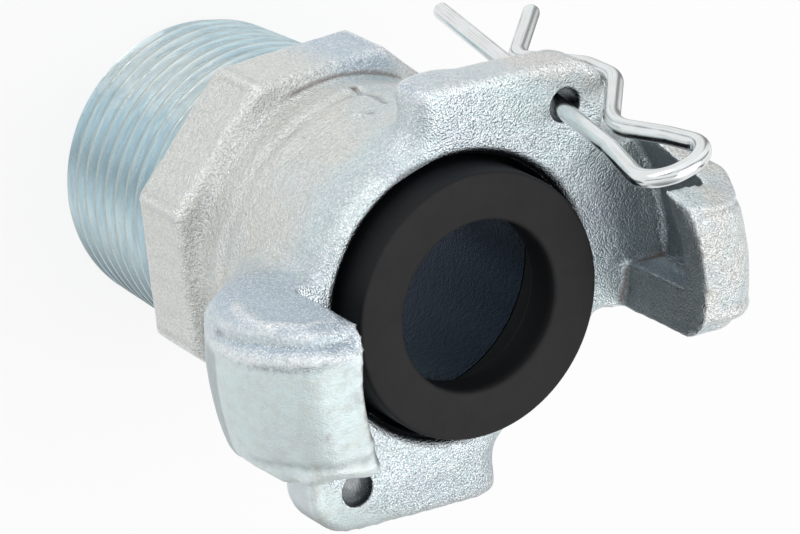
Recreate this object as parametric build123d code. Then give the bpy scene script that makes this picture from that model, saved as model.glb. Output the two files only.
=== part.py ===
# A two-lug claw coupling for air hose, with a male taper pipe thread.
# It stands on the thread's end at z = 0, its axis is +Z and its claws lie on +X and -X.
# Lengths are millimetres and angles are degrees about +Z from +X.

from build123d import *
from math import asin, atan2, cos, degrees, hypot, radians, sin, sqrt
import os

# Through bore and the washer's recess
BORE_RADIUS = 12.9
BORE_CHAMFER = 0.8
RECESS_STEP = 2.0
RECESS_RADIUS = BORE_RADIUS + RECESS_STEP
RECESS_DEPTH = 8.0
RECESS_CHAMFER = 0.35

# Neck
NECK_LENGTH = 23.3
NECK_WALL = 2.4
NECK_RADIUS = RECESS_RADIUS + NECK_WALL

# Male taper pipe thread, as the cone of its crests
THREAD_LENGTH = 22.7
THREAD_WALL = 3.4
THREAD_END_RADIUS = BORE_RADIUS + THREAD_WALL
THREAD_TAPER = 1 / 32
THREAD_END_CHAMFER = 1.1

# Spanner octagon
OCTAGON_SIDES = 8
OCTAGON_LENGTH = 9.2
OCTAGON_STEP = 1.6
OCTAGON_FLAT_RADIUS = NECK_RADIUS + OCTAGON_STEP
OCTAGON_TURN = -4
OCTAGON_ROUNDING = 1.2

# Ears, drawn with the lock hole on their own +Y axis
EAR_ANGLE = 45
EAR_THICKNESS = 5.9
EAR_CORNER = (-17.0, 15.5)
EAR_CORNER_ROUNDING = 1.2
LOCK_HOLE_DISTANCE = 22.1
LOCK_HOLE_RADIUS = 1.75
EAR_TIP_CENTRE = (0.6, LOCK_HOLE_DISTANCE)
EAR_TIP_RADIUS = 4.7
EAR_NOTCH_HEADING = -52.7
EAR_NOTCH_ROUNDING = 1.4
EAR_NOTCH_LENGTH = 7.2
EAR_WEB = LOCK_HOLE_DISTANCE - 0.4
EAR_WEB_END = 13.8
EAR_WEB_ROUNDING = 1.0
EAR_FRONT_ROUNDING = 0.7
EAR_BACK_ROUNDING = 1.1

# Claws
CLAW_START = -24.1
CLAW_START_HEADING = -10.0
CLAW_STOP_END = -10.5
CLAW_END = 23.0
CLAW_END_FLAT = 24.3
CLAW_HEIGHT = 14.0
CLAW_STEP = 2.9
CLAW_INNER_RADIUS = NECK_RADIUS + CLAW_STEP
CLAW_RADIUS = CLAW_INNER_RADIUS + 10.2
CLAW_WIDEST_HEIGHT = 5.0
CLAW_TIP_RADIUS = CLAW_INNER_RADIUS + 6.0
CLAW_BACK_RADIUS = CLAW_INNER_RADIUS + 7.4
CLAW_BACK_DEPTH = 4.6
CLAW_ROOT_DEPTH = 14.8
CLAW_SKIN_ROUNDINGS = [6.0, 12.0, 4.0]
CLAW_LIP_THICKNESS = 3.5
POCKET_DEPTH = 4.8
POCKET_RADIUS = CLAW_INNER_RADIUS + POCKET_DEPTH
POCKET_ROUNDING = 0.8
POCKET_OVERRUN = 8.0
CLAW_CORNER_SLOPE = 55.0
CLAW_CORNER_REACH = 8.0
CLAW_START_ROUNDING = 3.2
CLAW_END_ROUNDING = 2.1

# Rubber washer
WASHER_BORE_RADIUS = 9.05
WASHER_CLEARANCE = 0.75
WASHER_RADIUS = RECESS_RADIUS - WASHER_CLEARANCE
WASHER_STAND_OUT = 3.4
WASHER_LIP_THICKNESS = 4.6
WASHER_WALL = 1.25
WASHER_FOOT_HEIGHT = 2.4
WASHER_FIT = 0.1
WASHER_EDGE_ROUNDING = 0.35

# Safety clip of spring wire, in an upright plane through the lock hole. Its places are given
# as (distance out from the hole, height over the face). Its leg leans across the hole by a
# share of the play that the wire has in it.
WIRE_RADIUS = 0.95
CLIP_TURN = 8.1
CLIP_LEAN_SHARE = 0.69
CLIP_SLOPE = CLIP_LEAN_SHARE * (LOCK_HOLE_RADIUS - WIRE_RADIUS) / (EAR_THICKNESS / 2)
CLIP_LEG_BELOW = 31.4
CLIP_NECK_HEIGHT = 11.8
CLIP_LOOP_LEFT = (-5.3, 22.8)
CLIP_LOOP_RIGHT = (1.96, 22.8)
CLIP_LOOP_SIDE = (1.65, 15.5)
CLIP_DIP = (0.15, 8.6)
CLIP_CREST_TOP = WIRE_RADIUS - 1.15
CLIP_CREST_BOTTOM = 1.75 - EAR_THICKNESS - WIRE_RADIUS
CLIP_HEEL = (3.2, -7.9 - EAR_THICKNESS)
CLIP_TOE = (10.4, -15.2 - EAR_THICKNESS)
CLIP_BEND_RADII = [4.0, 3.05, 3.05, 8.0, 3.0, 2.6, 4.0, 2.0]
CLIP_FIT = 0.05

# How far a joined solid or a cut goes past the face it meets
OVERLAP = 1.0
CLAW_SWEEP_OVERLAP = 12.0
ON_PLANE = 0.02

# Cylinders and cones stand on z = 0
STANDING = (Align.CENTER, Align.CENTER, Align.MIN)

# Heights along the axis
OCTAGON_BACK = THREAD_LENGTH
OCTAGON_FRONT = OCTAGON_BACK + OCTAGON_LENGTH
FACE = OCTAGON_FRONT + NECK_LENGTH
RECESS_FLOOR = FACE - RECESS_DEPTH


def both_sides(solid):
    """The solid and its half turn about the axis."""
    return solid + Rot(0, 0, 180) * solid


def heading(angle):
    return Vector(cos(radians(angle)), sin(radians(angle)))


def distance_from_axis(edge):
    middle = edge.center()
    return hypot(middle.X, middle.Y)


def thread_cone():
    large_radius = THREAD_END_RADIUS + THREAD_TAPER * THREAD_LENGTH
    cone = Cone(THREAD_END_RADIUS, large_radius, THREAD_LENGTH, align=STANDING)
    end_edge = cone.edges().filter_by(GeomType.CIRCLE).sort_by(Axis.Z)[0]
    return chamfer(end_edge, THREAD_END_CHAMFER)


def octagon():
    turn = OCTAGON_TURN - 180 / OCTAGON_SIDES
    outline = RegularPolygon(
        OCTAGON_FLAT_RADIUS, OCTAGON_SIDES, major_radius=False, rotation=turn
    )
    nut = extrude(outline, OCTAGON_LENGTH)
    return Pos(0, 0, OCTAGON_BACK) * fillet(nut.edges(), OCTAGON_ROUNDING)


def neck():
    """The neck's plain cylinder, which ends inside the flange."""
    length = NECK_LENGTH - EAR_THICKNESS / 2
    cylinder = Cylinder(NECK_RADIUS, length, align=STANDING)
    return Pos(0, 0, OCTAGON_FRONT) * cylinder


def round_upright_edge(solid, place, radius):
    """The solid with its upright edge nearest to a place in the XY plane rounded."""
    edges = solid.edges().filter_by(Axis.Z)
    return fillet(edges.sort_by_distance(place)[0], radius)


def ear():
    """One ear with the neck's disc, under z = 0, with its lock hole on +Y."""
    corner = Vector(*EAR_CORNER)
    tip = Vector(*EAR_TIP_CENTRE)
    to_tip = tip - corner
    reach = hypot(to_tip.X, to_tip.Y)
    edge_heading = degrees(atan2(to_tip.Y, to_tip.X) + asin(EAR_TIP_RADIUS / reach))
    tangent = corner + heading(edge_heading) * sqrt(reach**2 - EAR_TIP_RADIUS**2)
    notch_end = corner + heading(EAR_NOTCH_HEADING) * EAR_NOTCH_LENGTH
    web_end = Vector(EAR_WEB_END, EAR_WEB)
    web_start = Vector(tip.X, EAR_WEB)
    web_corner = Vector(tip.X + EAR_TIP_RADIUS, EAR_WEB)
    points = [Vector(0, 0), web_end, web_start, tangent, corner, notch_end]
    outline = Polygon(*[(point.X, point.Y) for point in points], align=None)
    outline += Pos(tip.X, tip.Y) * Circle(EAR_TIP_RADIUS)
    outline += Circle(NECK_RADIUS)
    plate = extrude(outline, -EAR_THICKNESS)
    plate = round_upright_edge(plate, corner, EAR_CORNER_ROUNDING)
    plate = round_upright_edge(plate, (corner + notch_end) / 2, EAR_NOTCH_ROUNDING)
    plate = round_upright_edge(plate, web_corner, EAR_WEB_ROUNDING)
    plate = fillet(plate.faces().sort_by(Axis.Z)[-1].edges(), EAR_FRONT_ROUNDING)
    back_edges = plate.faces().sort_by(Axis.Z)[0].edges()
    ear_edges = [edge for edge in back_edges if distance_from_axis(edge) > NECK_RADIUS]
    plate = fillet(ear_edges, EAR_BACK_ROUNDING)
    hole = Pos(0, LOCK_HOLE_DISTANCE) * Cylinder(LOCK_HOLE_RADIUS, 2 * EAR_THICKNESS + OVERLAP)
    return plate - hole


def ears():
    placed = Pos(0, 0, FACE) * Rot(0, 0, EAR_ANGLE - 90) * ear()
    return both_sides(placed)


def claw_skin():
    """The claw's outer skin in the XZ plane, from its root on the neck to its tip's inner edge."""
    root = (NECK_RADIUS - OVERLAP, FACE - CLAW_ROOT_DEPTH - OVERLAP)
    back = (CLAW_BACK_RADIUS, FACE - CLAW_BACK_DEPTH)
    widest = (CLAW_RADIUS, FACE + CLAW_WIDEST_HEIGHT)
    shoulder = (CLAW_TIP_RADIUS, FACE + CLAW_HEIGHT)
    inner_edge = (CLAW_INNER_RADIUS, FACE + CLAW_HEIGHT)
    points = [(x, 0, z) for x, z in (root, back, widest, shoulder, inner_edge)]
    return FilletPolyline(*points, radius=CLAW_SKIN_ROUNDINGS)


def claw():
    """One claw on +X: a stop block at its start, and a hooked wall over the pocket after it."""
    skin = claw_skin()
    root = skin @ 0
    inner_edge = skin @ 1
    inside = Polyline(inner_edge, (inner_edge.X, 0, FACE), (root.X, 0, FACE), root)
    sweep_angle = CLAW_END - CLAW_START + CLAW_SWEEP_OVERLAP
    solid = revolve(make_face([skin, inside]), Axis.Z, sweep_angle)
    solid = Rot(0, 0, CLAW_START - CLAW_SWEEP_OVERLAP) * solid

    start = heading(CLAW_START) * CLAW_INNER_RADIUS
    start_face = Plane((start.X, start.Y, FACE), z_dir=heading(CLAW_START_HEADING - 90))
    end_flat = Plane(heading(EAR_ANGLE) * CLAW_END_FLAT, z_dir=heading(EAR_ANGLE))
    end = heading(CLAW_END) * CLAW_INNER_RADIUS
    end_face = Plane((end.X, end.Y, FACE), z_dir=heading(CLAW_END + 90))
    end_corner = corner_cut(end_face, heading(CLAW_END), CLAW_CORNER_REACH)
    for cut in (start_face, end_flat):
        solid = split(solid, bisect_by=cut, keep=Keep.BOTTOM)
    solid = fillet(outer_edges_on(solid, start_face), CLAW_START_ROUNDING)
    end_edges = outer_edges_on(solid, end_flat) + outer_edges_on(solid, end_face)
    solid = fillet(end_edges, CLAW_END_ROUNDING)
    return split(solid, bisect_by=end_corner, keep=Keep.BOTTOM)


def corner_cut(face, outward, reach):
    """A plane that slopes off the front outer corner at a claw's end."""
    upward = Vector(0, 0, 1)
    slope = radians(CLAW_CORNER_SLOPE)
    normal = face.z_dir + outward * sin(slope) + upward * cos(slope)
    return Plane(face.origin + outward * reach, z_dir=normal)


def outer_edges_on(solid, plane):
    """The edges of a claw that lie in a plane, without those next to the pocket."""
    return [
        edge
        for edge in solid.edges()
        if abs(plane.to_local_coords(edge.center()).Z) < ON_PLANE
        and distance_from_axis(edge) > CLAW_INNER_RADIUS + OVERLAP
    ]


def pocket():
    """The room behind the lip of one claw, from its stop block to its open end."""
    lip_underside = FACE + CLAW_HEIGHT - CLAW_LIP_THICKNESS
    corners = [(0, FACE), (POCKET_RADIUS, FACE), (POCKET_RADIUS, lip_underside), (0, lip_underside)]
    rim = FilletPolyline(*[(x, 0, z) for x, z in corners], radius=POCKET_ROUNDING)
    section = make_face([rim, Line(rim @ 1, rim @ 0)])
    swept = revolve(section, Axis.Z, CLAW_END - CLAW_STOP_END + POCKET_OVERRUN)
    return Rot(0, 0, CLAW_STOP_END) * swept


def coupling_body():
    body = thread_cone() + octagon() + neck() + ears() + both_sides(claw() - pocket())
    body -= Cylinder(BORE_RADIUS, FACE, align=STANDING)
    mouth_radius = BORE_RADIUS + BORE_CHAMFER
    body -= Cone(mouth_radius, BORE_RADIUS, BORE_CHAMFER, align=STANDING)
    body -= Pos(0, 0, RECESS_FLOOR) * Cylinder(RECESS_RADIUS, RECESS_DEPTH + OVERLAP, align=STANDING)
    rim = Cone(RECESS_RADIUS, RECESS_RADIUS + RECESS_CHAMFER, RECESS_CHAMFER, align=STANDING)
    return body - Pos(0, 0, FACE - RECESS_CHAMFER) * rim


def sealing_washer():
    """A rubber ring with a foot in the recess and a thick front lip that stands out of the face."""
    front = FACE + WASHER_STAND_OUT
    lip_back = front - WASHER_LIP_THICKNESS
    foot_radius = RECESS_RADIUS - WASHER_FIT
    foot_top = RECESS_FLOOR + WASHER_FOOT_HEIGHT
    chamber_radius = WASHER_RADIUS - WASHER_WALL
    section = Polyline(
        (chamber_radius, 0, RECESS_FLOOR),
        (foot_radius, 0, RECESS_FLOOR),
        (foot_radius, 0, foot_top),
        (WASHER_RADIUS, 0, foot_top + foot_radius - WASHER_RADIUS),
        (WASHER_RADIUS, 0, front),
        (WASHER_BORE_RADIUS, 0, front),
        (WASHER_BORE_RADIUS, 0, lip_back),
        (chamber_radius, 0, lip_back),
        close=True,
    )
    ring = revolve(make_face(section), Axis.Z)
    return fillet(ring.faces().sort_by(Axis.Z)[-1].edges(), WASHER_EDGE_ROUNDING)


def ear_tip_reach():
    """How far the ear's tip reaches from the lock hole, along the clip's plane."""
    out = heading(CLIP_TURN + 90 - EAR_ANGLE)
    to_centre = Vector(*EAR_TIP_CENTRE) - Vector(0, LOCK_HOLE_DISTANCE)
    across = to_centre.cross(out).Z
    return to_centre.dot(out) + sqrt(EAR_TIP_RADIUS**2 - across**2)


def safety_clip():
    """A wire that leans through the lock hole, loops over the face and springs over the ear's tip."""
    crest = ear_tip_reach() + WIRE_RADIUS + CLIP_FIT

    def leg(height):
        return (-(height + EAR_THICKNESS / 2) * CLIP_SLOPE, height)

    places = [
        leg(-CLIP_LEG_BELOW),
        leg(CLIP_NECK_HEIGHT),
        CLIP_LOOP_LEFT,
        CLIP_LOOP_RIGHT,
        CLIP_LOOP_SIDE,
        CLIP_DIP,
        (crest, CLIP_CREST_TOP),
        (crest, CLIP_CREST_BOTTOM),
        CLIP_HEEL,
        CLIP_TOE,
    ]
    path = FilletPolyline(*[(out, 0, height) for out, height in places], radius=CLIP_BEND_RADII)
    ring = Plane(path @ 0, z_dir=path % 0) * Circle(WIRE_RADIUS)
    wire = sweep(ring, path=path)
    hole = heading(EAR_ANGLE) * LOCK_HOLE_DISTANCE
    return Pos(hole.X, hole.Y, FACE) * Rot(0, 0, CLIP_TURN) * wire


if __name__ == "__main__":
    os.makedirs("parts", exist_ok=True)
    export_step(coupling_body(), "parts/coupling_body.step")
    export_step(sealing_washer(), "parts/sealing_washer.step")
    export_step(safety_clip(), "parts/safety_clip.step")
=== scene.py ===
"""A zinc plated claw coupling for air hose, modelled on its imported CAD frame."""

from math import pi, radians, tau

import bmesh
import bpy
import numpy as np
from bpy.props import FloatProperty, FloatVectorProperty, IntProperty, PointerProperty
from mathutils import Euler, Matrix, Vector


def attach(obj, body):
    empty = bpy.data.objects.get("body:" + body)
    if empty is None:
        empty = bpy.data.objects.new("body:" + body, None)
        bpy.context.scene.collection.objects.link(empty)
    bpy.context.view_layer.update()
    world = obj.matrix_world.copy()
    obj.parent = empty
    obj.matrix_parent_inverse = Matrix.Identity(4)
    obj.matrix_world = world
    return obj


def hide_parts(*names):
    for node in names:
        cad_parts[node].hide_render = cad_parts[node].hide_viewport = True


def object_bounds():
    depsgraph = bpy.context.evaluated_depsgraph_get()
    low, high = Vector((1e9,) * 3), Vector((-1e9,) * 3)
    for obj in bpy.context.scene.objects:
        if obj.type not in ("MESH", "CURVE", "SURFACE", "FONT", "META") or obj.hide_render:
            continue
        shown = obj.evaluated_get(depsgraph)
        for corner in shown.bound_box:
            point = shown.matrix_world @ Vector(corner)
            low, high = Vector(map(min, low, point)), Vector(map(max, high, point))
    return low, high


bl_info = {
    "name": "Claw hose coupling",
    "version": (1, 0, 0),
    "blender": (4, 5, 0),
    "location": "View3D > Sidebar > Coupling",
    "description": "Builds a cast, zinc plated claw hose coupling with its washer and safety clip",
    "category": "Add Mesh",
}

# One millimetre in metres. Sizes of the build itself are in millimetres and degrees.
MM = 0.001

# Height of the flange face
FACE = 55.2
# Middle of the octagon, the angle of one of its corners and the step to the next
OCTAGON_MIDDLE = 27.3
OCTAGON_CORNER = -26.5
OCTAGON_STEP = 45
# Middle of the coupling in metres, which the lamps are aimed at
MIDDLE = (0, 0, 0.04)
# Places of the lamps from there in metres, the key lamp's as the camera sees them
KEY_PLACE = (-0.42, 0.52, 0.36)
SIDE_PLACE = (0.25, -0.06, 0.70)
# Reach of the floor from the middle in metres
FLOOR_REACH = 1.6
# How far the cast skin keeps inside the CAD's box
INSIDE_BOX = 0.004

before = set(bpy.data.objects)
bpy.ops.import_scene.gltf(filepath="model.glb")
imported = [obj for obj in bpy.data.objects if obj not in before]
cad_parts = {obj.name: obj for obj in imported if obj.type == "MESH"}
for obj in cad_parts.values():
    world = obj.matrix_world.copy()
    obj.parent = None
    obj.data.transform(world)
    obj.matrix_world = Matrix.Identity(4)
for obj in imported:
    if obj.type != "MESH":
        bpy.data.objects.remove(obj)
CAD_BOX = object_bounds()


# Sizes and colours that a user would change


def number(name, description, default, **settings):
    """A property for a number in Blender's own units."""
    return FloatProperty(name=name, description=description, default=default, **settings)


def length(name, description, millimetres):
    """A length property whose default is given in millimetres."""
    settings = {"unit": "LENGTH", "subtype": "DISTANCE", "precision": 5}
    return number(name, description, millimetres * MM, **settings)


def colour(name, description, red, green, blue):
    """A colour property, linear, with no alpha."""
    settings = {"default": (red, green, blue), "subtype": "COLOR", "min": 0, "max": 1}
    return FloatVectorProperty(name=name, description=description, **settings)


class ThreadSizes(bpy.types.PropertyGroup):
    """Sizes of the male taper thread."""

    length: length("Length", "Length of the threaded end", 22.7)
    end_radius: length("End radius", "Radius of the crests at the thread's end", 16.3)
    taper: number("Taper", "Growth of the radius along the axis", 1 / 32)
    pitch: length("Pitch", "Distance from one crest to the next", 2.309)
    depth: length("Depth", "Depth of the thread from crest to root", 1.36)
    chamfer: length("Chamfer", "Chamfer on the thread's first turn", 1.1)
    bore_radius: length("Bore", "Radius of the bore through the thread", 12.9)
    columns: IntProperty(
        name="Columns", description="Steps round one turn of the thread", default=240
    )


class CastingSizes(bpy.types.PropertyGroup):
    """Sizes of the cast head and of what is machined into it."""

    grid: length("Grid", "Voxel size of the cast skin", 0.35)
    swell: length("Swell", "Height of the broad unevenness of the cast skin", 0.09)
    bumps: length("Bumps", "Height of the small lumps of the cast skin", 0.045)
    bore_radius: length("Bore", "Radius of the bore through the head", 12.9)
    recess_radius: length("Recess", "Radius of the washer's recess", 14.9)
    recess_depth: length("Recess depth", "Depth of the washer's recess", 8.0)
    hole_radius: length("Lock hole", "Radius of the lock holes in the ears", 1.75)
    hole_distance: length("Hole distance", "Distance of a lock hole from the axis", 22.1)
    back: length("Back", "Height at which the cast head starts over the thread", 22.45)


class WasherSizes(bpy.types.PropertyGroup):
    """Sizes of the rubber washer."""

    bore_radius: length("Bore", "Radius of the washer's hole", 9.05)
    radius: length("Radius", "Radius of the washer's front rim", 14.15)
    stand_out: length("Stand out", "Height of the front over the flange face", 3.4)
    lip: length("Lip", "Thickness of the front lip", 4.6)
    wall: length("Wall", "Thickness of the side wall", 1.25)
    foot_radius: length("Foot radius", "Radius of the foot in the recess", 14.8)
    foot_height: length("Foot height", "Height of the foot", 2.4)
    edge: length("Edge", "Rounding of the front edges", 0.45)


class ClipSizes(bpy.types.PropertyGroup):
    """Sizes of the safety clip's wire."""

    wire_radius: length("Wire radius", "Radius of the spring wire", 0.95)
    turn: number(
        "Turn", "Turn of the clip's plane about the lock hole", radians(8.1), subtype="ANGLE"
    )


class Finishes(bpy.types.PropertyGroup):
    """Colours of the plating, the rubber and the wire, and of the painted sheen and shade."""

    zinc: colour("Zinc", "Bright zinc plating on the cast skin", 0.68, 0.79, 0.80)
    warm: colour("Warm zinc", "Warmer plating on the octagon and the neck", 0.775, 0.765, 0.72)
    # Colour of the painted bluish reflection on faces turned up and on the octagon's shoulder
    blue: colour("Blue tint", "Bluer plating on the faces turned up", 0.55, 0.64, 0.74)
    lilac: colour("Passivation", "Faint tint of the passivation", 0.66, 0.66, 0.76)
    thread_zinc: colour("Thread zinc", "Plating on the cut thread", 0.57, 0.73, 0.79)
    # Colour of the painted shade in the bore, the recess, the lock holes, the hooks and the lower
    # ear
    bore_shade: colour("Bore", "Thin dark plating inside the bore", 0.020, 0.027, 0.042)
    rust: colour("Rust", "Rust in seams and on small spots", 0.14, 0.10, 0.08)
    rubber: colour("Rubber", "Black moulded rubber", 0.015, 0.0145, 0.0155)
    wire: colour("Wire", "Bright plated spring wire", 0.86, 0.90, 0.91)


class StageSettings(bpy.types.PropertyGroup):
    """Camera, lamps and floor."""

    camera_place: FloatVectorProperty(
        name="Camera",
        description="Place of the camera",
        default=(-0.2001557, 0.1924782, 0.4158237),
        subtype="TRANSLATION",
        precision=5,
    )
    camera_turn: FloatVectorProperty(
        name="Camera turn",
        description="Turn of the camera about X, Y and Z",
        default=(radians(-18.99454), radians(-32.03148), radians(-10.92473)),
        subtype="EULER",
        precision=5,
    )
    lens: number("Lens", "Focal length in millimetres", 202.5)
    key: number("Key", "Power of the key lamp in watts", 2.2)
    side: number("Side", "Power of the side lamp in watts", 2.1)
    sky: number("Sky", "Brightness of the room around", 0.92)


# Meshes


def grid_mesh(name, places, flow=None):
    """A closed mesh from a grid of places in metres, rows by columns.

    Equal places are welded, so a row that is one point closes a pole and columns that meet
    close a turn. Each cell becomes two triangles, and those without area are left out.
    """
    rows, columns = places.shape[:2]
    flat = places.reshape(-1, 3)
    _, first, index = np.unique(
        np.round(flat, 8), axis=0, return_index=True, return_inverse=True
    )
    index = index.reshape(rows, columns)
    a, b = index[:-1, :-1].ravel(), index[:-1, 1:].ravel()
    c, d = index[1:, 1:].ravel(), index[1:, :-1].ravel()
    corners = np.concatenate([np.stack([a, b, c], 1), np.stack([a, c, d], 1)])
    corners = corners[np.all(corners != np.roll(corners, 1, axis=1), axis=1)]
    welded = flat[first]
    one, two, three = (welded[corners[:, i]] for i in range(3))
    if np.sum(one * np.cross(two, three)) < 0:
        corners = corners[:, ::-1]
    mesh = bpy.data.meshes.new(name)
    mesh.from_pydata(welded.tolist(), [], corners.tolist())
    mesh.update()
    if flow is not None:
        attribute = mesh.attributes.new("flow", "FLOAT_VECTOR", "POINT")
        attribute.data.foreach_set(
            "vector", flow.reshape(-1, 3)[first].astype(np.float32).ravel()
        )
    return mesh


def piece(name, mesh, sharp_degrees, finish, *nodes):
    """Shows a mesh as a piece of the object, in place of CAD nodes.

    It is shaded smoothly, with edges that turn by more than an angle kept sharp.
    """
    mesh.shade_smooth()
    mesh.set_sharp_from_angle(angle=radians(sharp_degrees))
    thing = loose_object(name, mesh)
    mesh.materials.clear()
    mesh.materials.append(finish)
    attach(thing, "root")
    if nodes:
        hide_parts(*nodes)
    return thing


def turned(profile, columns):
    """Places of a profile of (radius, height) in millimetres, carried once round the axis."""
    profile = np.asarray(profile, float)
    angle = np.linspace(0, tau, columns + 1)
    angle[-1] = 0
    radius, height = profile[:, :1], profile[:, 1:]
    return MM * np.stack(
        [radius * np.cos(angle), radius * np.sin(angle), height + 0 * angle], axis=-1
    )


def rounded_corner(before, corner, after, radius, steps):
    """Points on the arc of a radius that touches both sides of a corner, in the plane.

    The arc's ends are radius * tan(turn / 2) from the corner, and its middle is worked out by
    turning the first end about the arc's centre.
    """
    inward = (corner - before) / np.linalg.norm(corner - before)
    outward = (after - corner) / np.linalg.norm(after - corner)
    cross = inward[0] * outward[1] - inward[1] * outward[0]
    turn = np.arctan2(cross, inward @ outward)
    start = corner - inward * radius * np.tan(abs(turn) / 2)
    normal = np.sign(turn) * np.array([-inward[1], inward[0]])
    centre = start + normal * radius
    angle = np.linspace(0, turn, steps)
    spoke = start - centre
    return centre + np.stack(
        [
            spoke[0] * np.cos(angle) - spoke[1] * np.sin(angle),
            spoke[0] * np.sin(angle) + spoke[1] * np.cos(angle),
        ],
        axis=1,
    )


def rounded_path(points, radii, steps=14):
    """A path through points in a plane, with an arc in place of each inner corner."""
    points = np.asarray(points, float)
    parts = [points[:1]]
    for i, radius in enumerate(radii, start=1):
        parts.append(rounded_corner(points[i - 1], points[i], points[i + 1], radius, steps))
    parts.append(points[-1:])
    return np.concatenate(parts)


def evenly(path, step):
    """The same path with points at equal distances along it."""
    along = np.concatenate([[0], np.cumsum(np.linalg.norm(np.diff(path, axis=0), axis=1))])
    count = int(along[-1] / step)
    wanted = np.linspace(0, along[-1], count)
    return np.stack([np.interp(wanted, along, path[:, axis]) for axis in (0, 1)], axis=1)


def noise(places, seed):
    """Smooth random values from about -1 to 1 at places, one lump to each unit of length.

    Each corner of the unit cell has a random slope, made by mixing its whole coordinates.
    The value is the corners' slopes times the way to them, blended by 6t^5 - 15t^4 + 10t^3.
    """
    cell = np.floor(places).astype(np.int64)
    inside = places - cell
    blend = inside**3 * (inside * (inside * 6 - 15) + 10)
    value = np.zeros(len(places))
    for corner in np.ndindex(2, 2, 2):
        key = (cell + corner) @ np.array([73856093, 19349663, 83492791]) + seed * 2654435761
        key = (key ^ (key >> 13)) * 1274126177 & 0x7FFFFFFF
        key = (key ^ (key >> 16)) * 69069 & 0x7FFFFFFF
        height = (key % 2048) / 1024.5 - 0.999
        heading = (key >> 11) % 4096 / 4096 * tau
        flat = np.sqrt(1 - height**2)
        slope = np.stack([flat * np.cos(heading), flat * np.sin(heading), height], axis=1)
        share = np.prod(np.where(corner, blend, 1 - blend), axis=1)
        value += share * np.sum(slope * (inside - corner), axis=1)
    return value * 1.6


def bell(distance, width):
    """1 at no distance, and falling smoothly to nearly 0 at twice the width."""
    return np.exp(-((distance / width) ** 2))


def rise(value, low, high):
    """0 below low, 1 above high, and 3t^2 - 2t^3 between them."""
    t = np.clip((value - low) / (high - low), 0, 1)
    return t * t * (3 - 2 * t)


def between(value, low, lower, upper, high):
    """0 outside low and high, and 1 from lower to upper."""
    return rise(value, low, lower) * (1 - rise(value, upper, high))


def distance_to_line(places, line):
    """Distance from places to a line of straight runs, the least over its runs."""
    line = np.asarray(line, float)
    nearest = np.full(len(places), np.inf)
    for start, end in zip(line[:-1], line[1:]):
        run = end - start
        t = np.clip((places - start) @ run / (run @ run), 0, 1)
        nearest = np.minimum(nearest, np.linalg.norm(places - start - t[:, None] * run, axis=1))
    return nearest


def near(places, line, width):
    """1 on a line of straight runs, and falling smoothly to nearly 0 at twice the width."""
    return bell(distance_to_line(places, line), width)


def polar(places):
    """Distance of places from the axis, and their angle about it in degrees."""
    x, y = places[:, 0], places[:, 1]
    return np.hypot(x, y), np.degrees(np.arctan2(y, x))


def facing_out(places, normals):
    """How far normals point away from the axis, from -1 to 1."""
    return np.sum(normals[:, :2] * places[:, :2], axis=1) / np.maximum(polar(places)[0], 1)


def relax(places, edges, pull, rounds, shrink=False):
    """Evens places out along edges.

    Each round moves a place towards the mean of its neighbours by its pull, and then back by
    a little more, which keeps the volume. With shrink there is no move back.
    """
    first, second = edges.T
    count = np.maximum(np.bincount(edges.ravel(), minlength=len(places)), 1)
    shares = [pull] if shrink else [pull, -1.02 * pull]
    for share in shares * rounds:
        mean = np.stack(
            [
                np.bincount(first, places[second, axis], len(places))
                + np.bincount(second, places[first, axis], len(places))
                for axis in range(3)
            ],
            axis=1,
        )
        places = places + np.reshape(share, (-1, 1)) * (mean / count[:, None] - places)
    return places


def read(items, key, width=3, kind=float):
    """A property of a mesh's items, as an array with a row for each item."""
    values = np.empty(len(items) * width, kind)
    items.foreach_get(key, values)
    return values.reshape(-1, width)


def read_points(mesh):
    """A mesh's vertices in millimetres."""
    return read(mesh.vertices, "co") / MM


def read_edges(mesh):
    """The two vertices of each edge of a mesh."""
    return read(mesh.edges, "vertices", 2, np.int32)


def write_points(mesh, places):
    """Puts vertices in millimetres back into a mesh."""
    mesh.vertices.foreach_set("co", (places * MM).ravel())
    mesh.update()


def write_levels(mesh, levels):
    """Stores numbers from 0 to 1 for each vertex by name, for the finish to read."""
    for name, values in levels.items():
        attribute = mesh.attributes.new(name, "FLOAT", "POINT")
        attribute.data.foreach_set("value", np.clip(values, 0, 1).astype(np.float32))


def modified(thing, kind, **settings):
    """The mesh of an object after one modifier, and the object removed."""
    modifier = thing.modifiers.new(kind.lower(), kind)
    for key, value in settings.items():
        setattr(modifier, key, value)
    graph = bpy.context.evaluated_depsgraph_get()
    mesh = bpy.data.meshes.new_from_object(thing.evaluated_get(graph))
    bpy.data.objects.remove(thing)
    return mesh


def loose_object(name, data):
    """An object that isn't a piece of the coupling."""
    thing = bpy.data.objects.new(name, data)
    bpy.context.scene.collection.objects.link(thing)
    return thing


def block(profile, columns=160, shift=(0, 0)):
    """A mesh of a solid of revolution, with its axis moved to a place in the XY plane."""
    mesh = grid_mesh("block", turned(profile, columns))
    write_points(mesh, read_points(mesh) + np.array([*shift, 0]))
    return mesh


def lock_holes(distance):
    """Places of the two lock holes in the XY plane."""
    side = distance / MM / np.sqrt(2)
    return [(side, side), (-side, -side)]


def filled_casting(sizes):
    """A merged copy of the CAD body with its bore, recess and lock holes filled."""
    work = bmesh.new()
    work.from_mesh(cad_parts["coupling_body"].data)
    bmesh.ops.remove_doubles(work, verts=work.verts, dist=1e-6)
    plug = block([(0, 6), (15.6, 6), (15.6, FACE), (0, FACE)])
    work.from_mesh(plug)
    for place in lock_holes(sizes.hole_distance):
        work.from_mesh(block([(0, 49.35), (2.1, 49.35), (2.1, FACE), (0, FACE)], 32, place))
    mesh = bpy.data.meshes.new("filled")
    work.to_mesh(mesh)
    work.free()
    thing = loose_object("filled", mesh)
    return modified(thing, "REMESH", mode="VOXEL", voxel_size=sizes.grid)


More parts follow.
